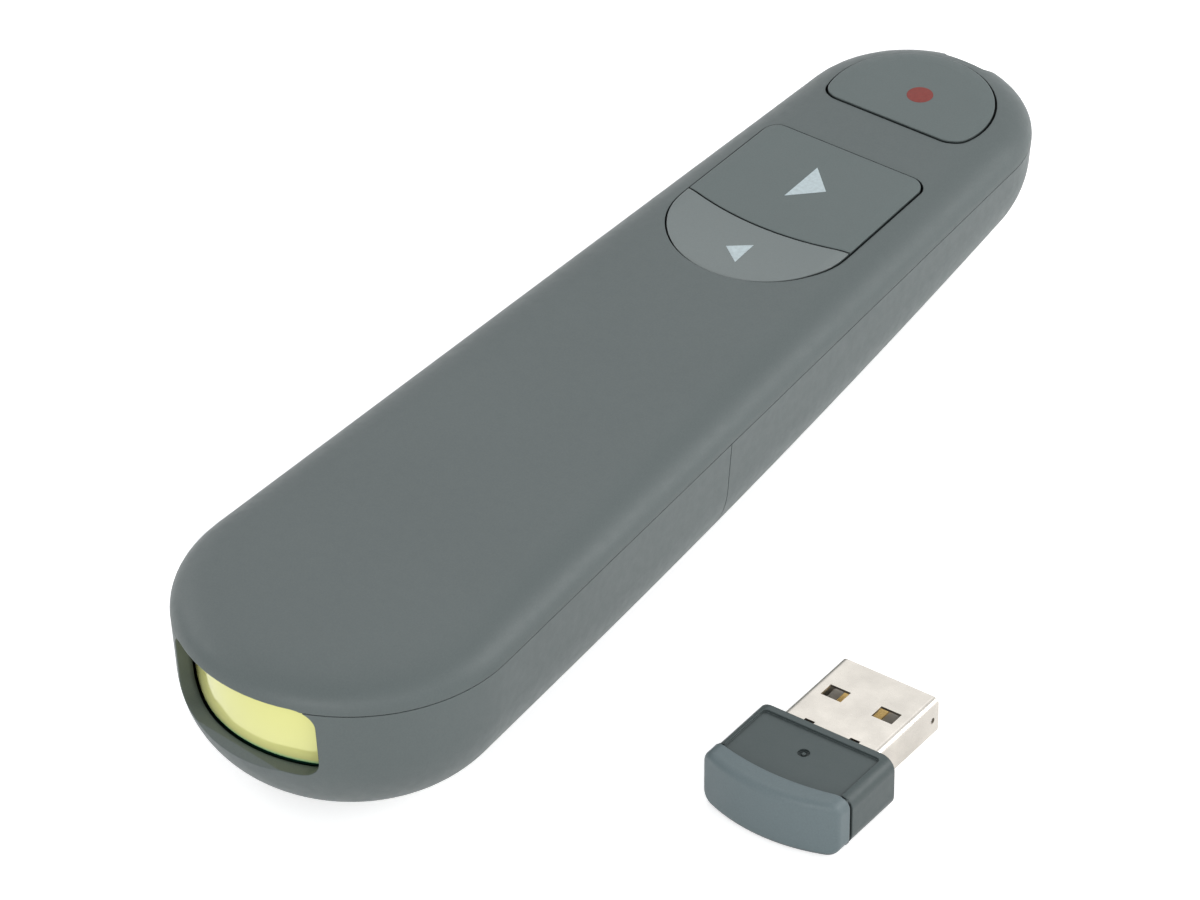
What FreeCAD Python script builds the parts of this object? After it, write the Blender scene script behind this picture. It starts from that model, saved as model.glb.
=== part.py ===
import FreeCAD, Part
import Sketcher
import math
import os

# A wireless presentation clicker with its plug-in receiver lying beside it, in millimetres.
# The long body is a racetrack that narrows from a wide round tail to a smaller round nose.
# X runs across the body, Y along it from tail to nose, and Z up.
# The origin is on the resting face, straight below the centre of the tail's round end.

os.makedirs("parts", exist_ok=True)
doc = FreeCAD.newDocument("presentation_clicker")
sheet = doc.addObject("Spreadsheet::Sheet", "Sizes")

SIZES = [
    # Body of the clicker
    ("tail_radius", 18.6), ("nose_radius", 13.4), ("end_spacing", 102.3),
    ("body_height", 21.4), ("lid_height", 4.0), ("wall_thickness", 1.6),
    ("shoulder_width", 6.2), ("tail_fall", 9.0), ("ceiling_radius", 1.8),
    ("belly_radius", 11.4), ("side_draft", 1.3), ("nose_rise", 5.4), ("rise_start", 17.6),
    ("seam_gap", 0.1), ("cover_clearance", 0.5),
    # Tinted window in the tail
    ("window_width", 20.0), ("window_turn", -8.0), ("window_low", 8.6), ("window_over_seam", 0.2),
    ("window_corner", 2.2), ("ledge_drop", 1.2), ("window_depth", 6.0),
    ("lens_recess", 1.9), ("lens_thickness", 1.2), ("lens_overlap", 0.9),
    # Nose window and laser
    ("port_width", 6.4), ("port_below_laser", 2.6), ("port_below_top", 0.7), ("port_corner", 1.2),
    ("port_depth", 2.7), ("port_glass", 1.2), ("port_recess", 0.35), ("port_play", 0.05),
    ("laser_below_board", 2.6), ("barrel_radius", 2.4), ("barrel_length", 9.0), ("barrel_step", 0.4),
    ("diode_radius", 1.65), ("diode_length", 3.0), ("laser_play", 0.3),
    # Buttons
    ("button_gap", 0.25), ("button_proud", 0.15), ("button_travel", 0.6),
    ("flange_width", 0.6), ("flange_thickness", 0.8), ("flange_clearance", 0.05),
    ("next_front", 90.6), ("next_rear", 75.3), ("next_half_front", 10.2), ("next_half_rear", 10.5),
    ("next_corner", 1.6), ("divide_bulge", 1.7), ("previous_reach", 11.2),
    ("previous_straight", 1.2),
    ("laser_rear", 98.1), ("laser_inset", 4.0), ("laser_corner", 2.4),
    # Inside of the nose half
    ("mat_thickness", 0.5), ("mat_half_width", 9.6), ("mat_rear", 62.0), ("mat_front", 108.0),
    ("board_thickness", 0.8), ("board_half_width", 8.8), ("board_rear", 52.0), ("board_front", 106.0),
    ("switch_side", 4.5), ("switch_height", 0.9), ("chip_side", 5.0), ("chip_height", 0.9),
    ("chip_place", 60.0), ("plunger_radius", 1.2),
    ("rib_thickness", 1.2), ("rear_rib", 56.0), ("front_rib", 95.0), ("cradle_rib", 107.0),
    # Batteries and their tray
    ("battery_radius", 5.25), ("battery_length", 44.5), ("battery_side", 5.7),
    ("battery_height", 7.9), ("nub_radius", 1.9), ("nub_length", 0.8), ("battery_play", 0.2), ("tray_gap", 0.4),
    ("spring_room", 3.4), ("spring_wide", 3.0), ("spring_narrow", 1.8), ("spring_wall", 0.6),
    ("contact_thickness", 0.3), ("contact_side", 6.6), ("tray_half_width", 12.2),
    ("tray_low", 6.6), ("tray_top", 14.2), ("tray_end", 1.6), ("tray_rear", -11.5),
    ("ear_length", 4.1), ("ear_thickness", 1.0), ("shelf_thickness", 1.0), ("bulkhead", 1.2),
    ("screw_radius", 1.0), ("screw_tip_room", 1.0), ("pilot_room", 0.3), ("screw_head_radius", 1.9),
    ("screw_slot_width", 0.5), ("screw_slot_length", 2.3),
    ("screw_head_height", 1.2), ("screw_side", 9.0), ("screw_play", 0.05), ("boss_radius", 2.4),
    ("tab_half_width", 1.9), ("tab_reach", 2.6), ("tab_root", 4.0), ("tab_thickness", 1.0),
    ("tab_gap", 0.25), ("tail_board_half_width", 7.0), ("tail_board_low", 8.5),
    ("tail_board_height", 5.0), ("tail_board_thickness", 0.8), ("led_side", 1.6),
    ("led_depth", 1.0), ("led_spread", 4.0),
    # Power switch under the nose half
    ("slider_width", 4.0), ("slider_length", 5.0), ("slider_travel", 3.0), ("slider_place", 70.0),
    ("slider_gap", 0.2), ("slider_flange", 1.0), ("slider_flange_thickness", 0.8),
    ("slider_sink", 0.3), ("slider_corner", 0.7), ("ridge_width", 0.35), ("ridge_pitch", 0.9),
    ("ridge_depth", 0.3), ("power_box_height", 2.4), ("power_box_half_width", 2.5),
    ("power_box_half_length", 4.5), ("power_board_half_width", 5.0),
    ("power_board_half_length", 9.4), ("power_board_thickness", 0.8),
    # Receiver
    ("receiver_place", 43.7), ("receiver_mouth", 34.1), ("plug_width", 12.0),
    ("plug_height", 4.5), ("plug_length", 11.7), ("plug_metal", 0.3), ("plug_corner", 0.7),
    ("receiver_width", 16.8), ("receiver_height", 6.8), ("receiver_depth", 8.15),
    ("receiver_corner", 1.6), ("receiver_bow", 1.3), ("cap_depth", 2.0), ("cap_bow", 1.9),
    ("cap_edge", 0.8), ("housing_step", 0.35), ("neck_length", 0.5), ("neck_inset", 0.4),
    ("panel_margin", 1.2), ("panel_front_margin", 0.8), ("panel_depth", 0.3),
    ("panel_corner", 0.5), ("dimple_radius", 0.65), ("dimple_bump", 0.3), ("dimple_back", 4.2), ("plug_root", 4.0),
    ("cavity_end", 1.2), ("plug_window_side", 3.15), ("plug_window_back", 5.4),
    ("plug_window_width", 2.5), ("plug_window_length", 1.9), ("notch_side", 2.8),
    ("notch_back", 10.9), ("notch_width", 1.2), ("notch_length", 0.7),
    ("side_hole_radius", 0.35), ("side_hole_back", 1.1),
    ("tongue_thickness", 1.8), ("tongue_width", 10.6), ("tongue_back", 0.6),
    ("pin_width", 1.0), ("pin_thickness", 0.2), ("pin_length", 7.5), ("pin_outer", 3.5),
    ("pin_inner", 1.0), ("pin_setback", 1.2), ("radio_board_thickness", 0.8),
    ("radio_board_width", 11.0), ("radio_chip_side", 2.4), ("radio_chip_height", 0.7),
]
for row, (alias, value) in enumerate(SIZES, start=1):
    sheet.set("A%d" % row, alias)
    sheet.set("B%d" % row, str(value))
    sheet.setAlias("B%d" % row, alias)
doc.recompute()


def size(alias):
    return float(sheet.get(alias))


V = FreeCAD.Vector
SUBPARTS = []

TAIL = size("tail_radius")
NOSE = size("nose_radius")
SPAN = size("end_spacing")
TOP = size("body_height")
SEAM = TOP - size("lid_height")
WALL = size("wall_thickness")
NOSE_TIP = SPAN + NOSE
TAIL_TIP = -TAIL
CEILING = TOP - WALL
FAR = 300.0
DOME_STEPS = 6
KEEL_OVERRUN = 1.2

# Levels of the keys and the board under them
CROWN = TOP + size("button_proud")
FLANGE_TOP = CEILING - size("flange_clearance")
FLANGE_LOW = FLANGE_TOP - size("flange_thickness")
MAT_TOP = FLANGE_LOW - size("button_travel") - 4 * size("flange_clearance")
MAT_LOW = MAT_TOP - size("mat_thickness")
PLUNGER_LOW = MAT_TOP + size("button_travel") + size("flange_clearance")
BOARD_TOP = MAT_LOW - size("switch_height")
BOARD_LOW = BOARD_TOP - size("board_thickness")
NEXT_KEY = (size("next_front") + size("next_rear")) / 2
PREVIOUS_KEY = size("next_rear") - size("previous_reach") / 2
LASER_KEY = (size("laser_rear") + SPAN) / 2 + size("switch_side") / 4

# Windows and laser
WINDOW_HIGH = SEAM + size("window_over_seam")
LASER_LEVEL = BOARD_LOW - size("laser_below_board")
PORT_LOW = LASER_LEVEL - size("port_below_laser")
PORT_HIGH = TOP - size("port_below_top")

# Places along the battery tray, and the levels of its ear and screws
TRAY_REAR = size("tray_rear")
POCKET_REAR = TRAY_REAR + size("tray_end")
POCKET_FRONT = POCKET_REAR + size("battery_length") + size("spring_room") \
    + 2 * size("contact_thickness")
TRAY_FRONT = POCKET_FRONT + size("tray_end")
SPLIT = TRAY_FRONT + size("ear_length") + size("cover_clearance")
EAR_LOW = size("tray_top") - size("ear_thickness")
SHELF_LOW = EAR_LOW - size("shelf_thickness")
SCREW_Y = TRAY_FRONT + size("ear_length") / 2
SCREW_TIP = CEILING - size("screw_tip_room")


# Document objects

def add_shape(label, shape):
    """Put a finished solid, or a group of like solids, in the document under its own label."""
    item = doc.addObject("Part::Feature", label)
    item.Label = label
    item.Shape = shape
    SUBPARTS.append(item)
    return item


def bind(item, **expressions):
    """Tie properties of a document object to cells of the sheet."""
    for name, expression in expressions.items():
        item.setExpression(name.replace("__", "."), expression)


def add_box(label, length, width, height, x, y, z):
    """A box whose sizes and low corner are expressions on the sheet."""
    item = doc.addObject("Part::Box", label)
    item.Label = label
    bind(item, Length=length, Width=width, Height=height,
         Placement__Base__x=x, Placement__Base__y=y, Placement__Base__z=z)
    SUBPARTS.append(item)
    return item


def role_plane(body, role):
    """One of the body's own origin planes."""
    return next(plane for plane in body.Origin.OriginFeatures if plane.Role == role)


def revolved_body(label, steps):
    """A turned piece: a stepped half profile, as (radius, height) expressions, turned about Z."""
    body = doc.addObject("PartDesign::Body", label)
    body.Label = label
    sketch = body.newObject("Sketcher::SketchObject", label + "_profile")
    sketch.AttachmentSupport = [(role_plane(body, "XZ_Plane"), "")]
    sketch.MapMode = "FlatFace"
    corners = [V(0, 0, 0)]
    height = 0.0
    for index, (radius, tall) in enumerate(steps):
        corners.append(V(2.0 + index, height, 0))
        height += 3.0
        corners.append(V(2.0 + index, height, 0))
    corners.append(V(0, height, 0))
    count = len(corners)
    for index, corner in enumerate(corners):
        sketch.addGeometry(Part.LineSegment(corner, corners[(index + 1) % count]), False)
    for index in range(count):
        sketch.addConstraint(Sketcher.Constraint("Coincident", index, 2, (index + 1) % count, 1))
    sketch.addConstraint(Sketcher.Constraint("Coincident", 0, 1, -1, 1))
    for index in range(count):
        kind = "Vertical" if index == count - 1 or index % 2 else "Horizontal"
        sketch.addConstraint(Sketcher.Constraint(kind, index))
    for index, (radius, tall) in enumerate(steps):
        rise = 1 + 2 * index
        wide = sketch.addConstraint(Sketcher.Constraint("DistanceX", -1, 1, rise, 1, 2.0 + index))
        high = sketch.addConstraint(Sketcher.Constraint("DistanceY", rise, 1, rise, 2, 3.0))
        sketch.setExpression("Constraints[%d]" % wide, radius)
        sketch.setExpression("Constraints[%d]" % high, tall)
    turned = body.newObject("PartDesign::Revolution", label + "_turned")
    turned.Profile = sketch
    turned.ReferenceAxis = (sketch, ["V_Axis"])
    turned.Angle = 360.0
    body.Tip = turned
    return body


# Outlines and solids shared by the pieces

def racetrack(tail, nose, z, tail_shift=0.0):
    """The body's plan at one level: a tail arc and a nose arc joined by tangent lines."""
    tail = tail - tail_shift * (TAIL - NOSE) / SPAN
    lean = math.asin((tail - nose) / (SPAN - tail_shift))
    side = V(math.cos(lean), math.sin(lean), 0)
    mirrored = V(-side.x, side.y, 0)
    tail_centre = V(0, tail_shift, z)
    nose_centre = V(0, SPAN, z)
    tail_right = tail_centre + side * tail
    tail_left = tail_centre + mirrored * tail
    nose_right = nose_centre + side * nose
    nose_left = nose_centre + mirrored * nose
    tail_arc = Part.Arc(tail_left, V(0, tail_shift - tail, z), tail_right).toShape()
    nose_arc = Part.Arc(nose_right, V(0, SPAN + nose, z), nose_left).toShape()
    right = Part.LineSegment(tail_right, nose_right).toShape()
    left = Part.LineSegment(nose_left, tail_left).toShape()
    return Part.Wire([tail_arc, right, nose_arc, left])


def slab(outline, height):
    """A flat outline drawn up to a slab."""
    return Part.Face(outline).extrude(V(0, 0, height))


def box(x0, x1, y0, y1, z0, z1):
    return Part.makeBox(x1 - x0, y1 - y0, z1 - z0, V(x0, y0, z0))


def rounded_box(x0, x1, y0, y1, z0, z1, radius, axis):
    """A box whose four edges along one axis are rounded."""
    solid = box(x0, x1, y0, y1, z0, z1)
    edges = []
    for edge in solid.Edges:
        along = edge.Vertexes[1].Point - edge.Vertexes[0].Point
        if abs(along.dot(axis)) > 0.5 * along.Length:
            edges.append(edge)
    return solid.makeFillet(radius, edges)


def edges_at(solid, z, tolerance=1e-4):
    """The edges that lie wholly at one level."""
    found = []
    for edge in solid.Edges:
        bounds = edge.BoundBox
        if abs(bounds.ZMin - z) < tolerance and abs(bounds.ZMax - z) < tolerance:
            found.append(edge)
    return found


def hull(inset):
    """The belly below the seam, or the hollow in it: drafted sides, a rising nose, a round chine."""
    draft = size("side_draft")
    floor = inset
    upper = racetrack(TAIL - inset, NOSE - inset, SEAM)
    lower = racetrack(TAIL - inset - draft, NOSE - inset - draft, floor)
    drafted = Part.makeLoft([upper, lower], True, True)
    run = NOSE_TIP - size("rise_start")
    rise = size("nose_rise")
    keel_radius = (run * run + rise * rise) / (2.0 * rise)
    lean = math.asin(run / keel_radius)

    def keel(share):
        angle = lean * share
        return V(-FAR, size("rise_start") + (keel_radius - inset) * math.sin(angle),
                 keel_radius - (keel_radius - inset) * math.cos(angle))

    start = V(-FAR, size("rise_start"), floor)
    end = keel(KEEL_OVERRUN)
    rounding = Part.Arc(start, keel(KEEL_OVERRUN / 2), end).toShape()
    under = V(-FAR, end.y, -FAR)
    profile = Part.Wire([
        rounding,
        Part.LineSegment(end, under).toShape(),
        Part.LineSegment(under, V(-FAR, start.y, -FAR)).toShape(),
        Part.LineSegment(V(-FAR, start.y, -FAR), start).toShape(),
    ])
    solid = drafted.cut(Part.Face(profile).extrude(V(2 * FAR, 0, 0)))
    chine = []
    for edge in solid.Edges:
        bounds = edge.BoundBox
        crosswise = bounds.YLength < 1e-4
        if bounds.ZMax < floor + rise + 0.5 and not crosswise:
            chine.append(edge)
    return solid.makeFillet(size("belly_radius") - inset, chine)


def dome(lift=0.0):
    """The lid's outside: an elliptical shoulder all round, which falls away further at the tail."""
    sections = []
    for step in range(DOME_STEPS + 1):
        turn = math.pi / 2 * step / DOME_STEPS
        drawn_in = 1 - math.cos(turn)
        inset = size("shoulder_width") * drawn_in
        level = SEAM + lift + size("lid_height") * math.sin(turn)
        sections.append(racetrack(TAIL - inset, NOSE - inset, level,
                                  size("tail_fall") * drawn_in * drawn_in))
    return Part.makeLoft(sections, True, False)


def lid_hollow():
    """The space under the lid, with a rounded corner to its ceiling."""
    solid = slab(racetrack(TAIL - WALL, NOSE - WALL, SEAM), CEILING - SEAM)
    return solid.makeFillet(size("ceiling_radius"), edges_at(solid, CEILING))


def port_outline(width, low, high, corner, y):
    """A rounded rectangle in an upright plane across Y."""
    half = width / 2
    cut = corner * (1 - math.sqrt(0.5))
    edges = []
    for sx, sz, turn in ((1, 1, 0), (-1, 1, 1), (-1, -1, 0), (1, -1, 1)):
        edge_x = half * sx
        edge_z = high if sz > 0 else low
        beside = V(edge_x, y, edge_z - corner * sz)
        above = V(edge_x - corner * sx, y, edge_z)
        ends = (above, beside) if turn else (beside, above)
        edges.append(Part.Arc(ends[0], V(edge_x - cut * sx, y, edge_z - cut * sz), ends[1]))
    wires = []
    for index, arc in enumerate(edges):
        wires.append(arc.toShape())
        following = edges[(index + 1) % len(edges)]
        wires.append(Part.LineSegment(arc.EndPoint, following.StartPoint).toShape())
    return Part.Wire(wires)


# Buttons

def divide_arc(half_width, y):
    """The curved parting between the two page buttons, bowed towards the tail."""
    return Part.Arc(V(-half_width, y, 0), V(0, y - size("divide_bulge"), 0), V(half_width, y, 0))


def next_outline(shrink):
    """The forward button: straight front, slightly leaning sides and a bowed rear edge."""
    front = size("next_front") - shrink
    rear = size("next_rear") + shrink
    half_front = size("next_half_front") - shrink
    half_rear = size("next_half_rear") - shrink
    corner = size("next_corner") - shrink / 2
    right = V(half_front, front - corner, 0)
    left = V(-half_front, front - corner, 0)
    top_right = V(half_front - corner, front, 0)
    top_left = V(-half_front + corner, front, 0)
    bend = corner * (1 - math.sqrt(0.5))
    return Part.Wire([
        divide_arc(half_rear, rear).toShape(),
        Part.LineSegment(V(half_rear, rear, 0), right).toShape(),
        Part.Arc(right, V(half_front - bend, front - bend, 0), top_right).toShape(),
        Part.LineSegment(top_right, top_left).toShape(),
        Part.Arc(top_left, V(-half_front + bend, front - bend, 0), left).toShape(),
        Part.LineSegment(left, V(-half_rear, rear, 0)).toShape(),
    ])


def previous_outline(shrink, rear_shift):
    """The back button: a half moon under the bowed parting."""
    half = size("next_half_rear") - shrink
    rear = size("next_rear") - rear_shift
    centre_y = rear - size("previous_straight")
    reach = size("previous_reach") - size("previous_straight") - shrink - rear_shift
    right = V(half, centre_y, 0)
    left = V(-half, centre_y, 0)
    tip = V(0, centre_y - reach, 0)
    long_axis, short_axis = (right, tip) if half >= reach else (tip, right)
    ellipse = Part.Ellipse(long_axis, short_axis, V(0, centre_y, 0))
    bow = Part.ArcOfEllipse(ellipse, ellipse.parameter(left), ellipse.parameter(right))
    if bow.value((bow.FirstParameter + bow.LastParameter) / 2).y > centre_y:
        bow = Part.ArcOfEllipse(ellipse, ellipse.parameter(right), ellipse.parameter(left))
    return Part.Wire(Part.__sortEdges__([
        divide_arc(half, rear).toShape(),
        Part.LineSegment(V(half, rear, 0), right).toShape(),
        bow.toShape(),
        Part.LineSegment(left, V(-half, rear, 0)).toShape(),
    ]))


def laser_slab(shrink, low, height):
    """The laser button's D, whose round side follows the nose, drawn up to a slab."""
    radius = NOSE - size("laser_inset") - shrink
    rear = size("laser_rear") + shrink
    reach = math.sqrt(radius * radius - (SPAN - rear) ** 2)
    right = V(reach, rear, low)
    left = V(-reach, rear, low)
    outline = Part.Wire([
        Part.Arc(right, V(0, SPAN + radius, low), left).toShape(),
        Part.LineSegment(left, right).toShape(),
    ])
    solid = slab(outline, height)
    corners = [edge for edge in solid.Edges if edge.BoundBox.ZLength > height / 2]
    return solid.makeFillet(size("laser_corner") - shrink / 2, corners)


def raised(wire, z):
    """A copy of an outline at another level."""
    moved = wire.copy()
    moved.translate(V(0, 0, z))
    return moved


def next_slab(shrink, low, height):
    return slab(raised(next_outline(shrink), low), height)


def previous_slab(shrink, low, height, rear_shift=0.0):
    return slab(raised(previous_outline(shrink, rear_shift), low), height)


def button(cap, flange, plunger_y):
    """A key cap that follows the lid, a flange that holds it in, and a plunger for its switch."""
    cap = cap.common(dome(size("button_proud")))
    plunger = Part.makeCylinder(size("plunger_radius"), FLANGE_LOW - PLUNGER_LOW,
                                V(0, plunger_y, PLUNGER_LOW))
    return cap.fuse([flange, plunger]).removeSplitter()


def make_buttons():
    half_gap = size("button_gap") / 2
    spread = size("flange_width")
    tall = CROWN - FLANGE_LOW
    thick = size("flange_thickness")
    parting_low = size("next_rear") - size("divide_bulge")
    next_flange = next_slab(half_gap - spread, FLANGE_LOW, thick).common(
        box(-FAR, FAR, size("next_rear") + spread, FAR, -FAR, FAR))
    add_shape("next_button", button(next_slab(half_gap, FLANGE_LOW, tall), next_flange, NEXT_KEY))
    previous_flange = previous_slab(half_gap - spread, FLANGE_LOW, thick).common(
        box(-FAR, FAR, -FAR, parting_low - 2 * spread, -FAR, FAR))
    previous_cap = previous_slab(half_gap, FLANGE_LOW, tall, half_gap)
    add_shape("previous_button", button(previous_cap, previous_flange, PREVIOUS_KEY))
    laser_flange = laser_slab(half_gap - spread, FLANGE_LOW, thick)
    add_shape("laser_button", button(laser_slab(half_gap, FLANGE_LOW, tall), laser_flange, LASER_KEY))


# Casings

def make_upper_shell():
    """The full-length lid, with the key openings, the tops of both windows and screw bosses."""
    shell = dome().cut(lid_hollow())
    gap = size("button_gap") / 2
    for well in (next_slab, previous_slab, laser_slab):
        shell = shell.cut(well(-gap, SEAM, FAR))
    shell = shell.cut(tail_opening())
    shell = shell.cut(nose_opening())
    for x in (-size("screw_side"), size("screw_side")):
        boss_low = size("tray_top")
        boss = Part.makeCylinder(size("boss_radius"), CEILING - boss_low, V(x, SCREW_Y, boss_low))
        pilot = Part.makeCylinder(size("screw_radius") + size("screw_play"),
                                  SCREW_TIP + size("pilot_room") - boss_low,
                                  V(x, SCREW_Y, boss_low))
        shell = shell.fuse(boss).cut(pilot)
    add_shape("upper_shell", shell.removeSplitter())


def tail_opening():
    """The tail window's opening, turned a little to one side, with a ledge that slopes outwards."""
    width = size("window_width")
    low = size("window_low")
    corner = size("window_corner")
    lens_face = TAIL_TIP + size("lens_recess")
    inside = slab_along(port_outline(width, low, WINDOW_HIGH, corner, lens_face), size("window_depth"))
    flare = Part.makeLoft([
        port_outline(width, low, WINDOW_HIGH, corner, lens_face),
        port_outline(width, low - size("ledge_drop"), WINDOW_HIGH, corner, TAIL_TIP),
    ], True, True)
    outside = slab_along(port_outline(width, low - size("ledge_drop"), WINDOW_HIGH, corner, TAIL_TIP),
                         -size("window_depth"))
    opening = inside.fuse([flare, outside])
    opening.rotate(V(0, 0, 0), V(0, 0, 1), size("window_turn"))
    return opening


def slab_along(outline, length):
    """An upright outline drawn out along Y."""
    return Part.Face(outline).extrude(V(0, length, 0))


def nose_opening(shrink=0.0):
    """The laser's port in the nose, deep below the seam, which reaches up on to the shoulder."""
    depth = size("port_depth")
    outline = port_outline(size("port_width") - 2 * shrink, PORT_LOW + shrink, PORT_HIGH - shrink,
                           size("port_corner"), NOSE_TIP - 2 * depth)
    behind = box(-FAR, FAR, -FAR, NOSE_TIP - depth, SEAM, FAR)
    return slab_along(outline, 3 * depth).cut(behind)


def skin(outer, inner, high):
    """A curved sheet that follows the body's walls between two depths, up to a level."""
    below = hull(outer).cut(hull(inner))
    rise = high - SEAM
    above = slab(racetrack(TAIL - outer, NOSE - outer, SEAM), rise).cut(
        slab(racetrack(TAIL - inner, NOSE - inner, SEAM), rise))
    return below.fuse(above)


def nose_reach(inset, level):
    """How far the nose's inside lies from the nose centre at a level below the seam."""
    radius = size("belly_radius") - inset
    centre = size("nose_rise") + size("belly_radius")
    below = max(0.0, centre - level)
    lean = size("side_draft") * (SEAM - level) / (SEAM - inset)
    return NOSE - inset - lean - (radius - math.sqrt(radius * radius - below * below))


def inner_rib(y, top):
    """A cross rib that stands on the inside of the belly."""
    return hull(WALL).common(box(-FAR, FAR, y, y + size("rib_thickness"), -FAR, top))


def make_lower_shell():
    """The nose half of the belly: ribs, a bulkhead with its screw shelf, and the slider's slot."""
    shell = hull(0.0).cut(hull(WALL))
    shell = shell.cut(box(-FAR, FAR, -FAR, SPLIT, -FAR, FAR))
    shell = shell.cut(box(-FAR, FAR, -FAR, FAR, SEAM - size("seam_gap"), FAR))
    shell = shell.cut(nose_opening())
    bulkhead = hull(WALL).common(box(-FAR, FAR, SPLIT, SPLIT + size("bulkhead"), -FAR, BOARD_LOW))
    tab_room = size("tab_half_width") + size("tab_gap")
    bulkhead = bulkhead.cut(box(-tab_room, tab_room, -FAR, FAR, -FAR, TAB_TOP + size("tab_gap")))
    shelf = box(-size("tray_half_width"), size("tray_half_width"), TRAY_FRONT + size("battery_play"),
                SPLIT, SHELF_LOW, SHELF_LOW + size("shelf_thickness"))
    barrel_room = Part.makeCylinder(size("barrel_radius"), FAR, V(0, SPLIT, LASER_LEVEL), V(0, 1, 0))
    cradle = inner_rib(size("cradle_rib"), LASER_LEVEL).cut(barrel_room)
    place = size("slider_place")
    reach = size("power_board_half_length")
    ribs = [inner_rib(size("rear_rib"), BOARD_LOW), inner_rib(size("front_rib"), BOARD_LOW),
            inner_rib(place - reach, POWER_BOARD_LOW),
            inner_rib(place + reach - size("rib_thickness"), POWER_BOARD_LOW)]
    shell = shell.fuse([bulkhead, shelf, cradle] + ribs)
    half_w = size("slider_width") / 2 + size("slider_gap")
    half_l = (size("slider_length") + size("slider_travel")) / 2 + size("slider_gap")
    slot = rounded_box(-half_w, half_w, place - half_l, place + half_l, -WALL, SLIDER_FLANGE_LOW,
                       size("slider_corner") + size("slider_gap"), V(0, 0, 1))
    shell = shell.cut(slot)
    for x in (-size("screw_side"), size("screw_side")):
        shell = shell.cut(Part.makeCylinder(size("screw_radius") + size("screw_play"),
                                            2 * size("shelf_thickness"),
                                            V(x, SCREW_Y, SHELF_LOW - size("shelf_thickness") / 2)))
    add_shape("lower_shell", shell.removeSplitter())


def make_battery_cover():
    """The tail half of the belly, which slides off to the rear, with its catch tab."""
    cover = hull(0.0).cut(hull(WALL))
    cover = cover.cut(box(-FAR, FAR, SPLIT - size("seam_gap"), FAR, -FAR, FAR))
    cover = cover.cut(box(-FAR, FAR, -FAR, FAR, SEAM - size("seam_gap"), FAR))
    cover = cover.cut(tail_opening())
    half = size("tab_half_width")
    root = box(-half, half, SPLIT - size("tab_root"), SPLIT - size("tab_root") / 2,
               WALL / 2, TAB_TOP)
    tab = box(-half, half, SPLIT - size("tab_root"), SPLIT + size("tab_reach"),
              TAB_TOP - size("tab_thickness"), TAB_TOP)
    add_shape("battery_cover", cover.fuse([root, tab]).removeSplitter())


def make_tail_lens():
    """The tinted window, a curved strip that follows the tail wall just inside it."""
    outer = size("lens_recess")
    inner = outer + size("lens_thickness")
    margin = size("lens_overlap")
    high = WINDOW_HIGH + margin
    half = size("window_width") / 2 + margin
    keep = box(-half, half, -FAR, -TAIL / 4, size("window_low") - margin, high)
    keep.rotate(V(0, 0, 0), V(0, 0, 1), size("window_turn"))
    add_shape("tail_lens", skin(outer, inner, high).common(keep).removeSplitter())


def make_port_glass():
    """The clear window in the nose, which follows the nose and its shoulder just under them."""
    outer = size("port_recess")
    sheet_of_glass = skin(outer, outer + size("port_glass"), PORT_HIGH)
    under_lid = dome(-outer).fuse(slab(racetrack(TAIL, NOSE, 0), SEAM - outer))
    glass = sheet_of_glass.common(nose_opening(size("port_play"))).common(under_lid)
    add_shape("nose_window", glass.removeSplitter())


# Electronics and power


def keel_height(y):
    """How far the underside has risen at a place along the body."""
    run = NOSE_TIP - size("rise_start")
    radius = (run * run + size("nose_rise") ** 2) / (2.0 * size("nose_rise"))
    away = max(0.0, y - size("rise_start"))
    return radius - math.sqrt(radius * radius - away * away)


TAB_TOP = keel_height(SPLIT + size("tab_reach")) + WALL + size("tab_gap") + size("tab_thickness")
SLIDER_END = size("slider_place") + (size("slider_length") + size("slider_travel")) / 2 \
    + size("slider_flange")
SLIDER_FLANGE_LOW = keel_height(SLIDER_END) + WALL + size("tab_gap")
POWER_BOX_LOW = SLIDER_FLANGE_LOW + size("slider_flange_thickness") + size("battery_play")
POWER_BOARD_LOW = POWER_BOX_LOW + size("power_box_height")


def make_tray():
    """The battery tray: two troughs open below, end walls, and an ear for the screws."""
    half = size("tray_half_width")
    tray = box(-half, half, TRAY_REAR, TRAY_FRONT, size("tray_low"), size("tray_top"))
    trough = size("battery_radius") + size("battery_play")
    level = size("battery_height")
    for x in (-size("battery_side"), size("battery_side")):
        tray = tray.cut(Part.makeCylinder(trough, POCKET_FRONT - POCKET_REAR,
                                          V(x, POCKET_REAR, level), V(0, 1, 0)))
    open_half = size("battery_side") + trough
    tray = tray.cut(box(-open_half, open_half, POCKET_REAR, POCKET_FRONT, 0, level))
    ear = box(-half, half, TRAY_FRONT, TRAY_FRONT + size("ear_length"), EAR_LOW, size("tray_top"))
    tray = tray.fuse(ear)
    for x in (-size("screw_side"), size("screw_side")):
        tray = tray.cut(Part.makeCylinder(size("screw_radius") + size("screw_play"),
                                          2 * size("ear_thickness"),
                                          V(x, SCREW_Y, EAR_LOW - size("ear_thickness") / 2)))
    beside_lens = size("lens_recess") + size("lens_thickness") + size("battery_play")
    rear_part = tray.common(hull(beside_lens)).common(box(-FAR, FAR, -FAR, 0, 0, FAR))
    main_part = tray.common(hull(WALL + size("tray_gap"))).common(box(-FAR, FAR, 0, FAR, 0, FAR))
    add_shape("battery_tray", rear_part.fuse(main_part).removeSplitter())


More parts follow.
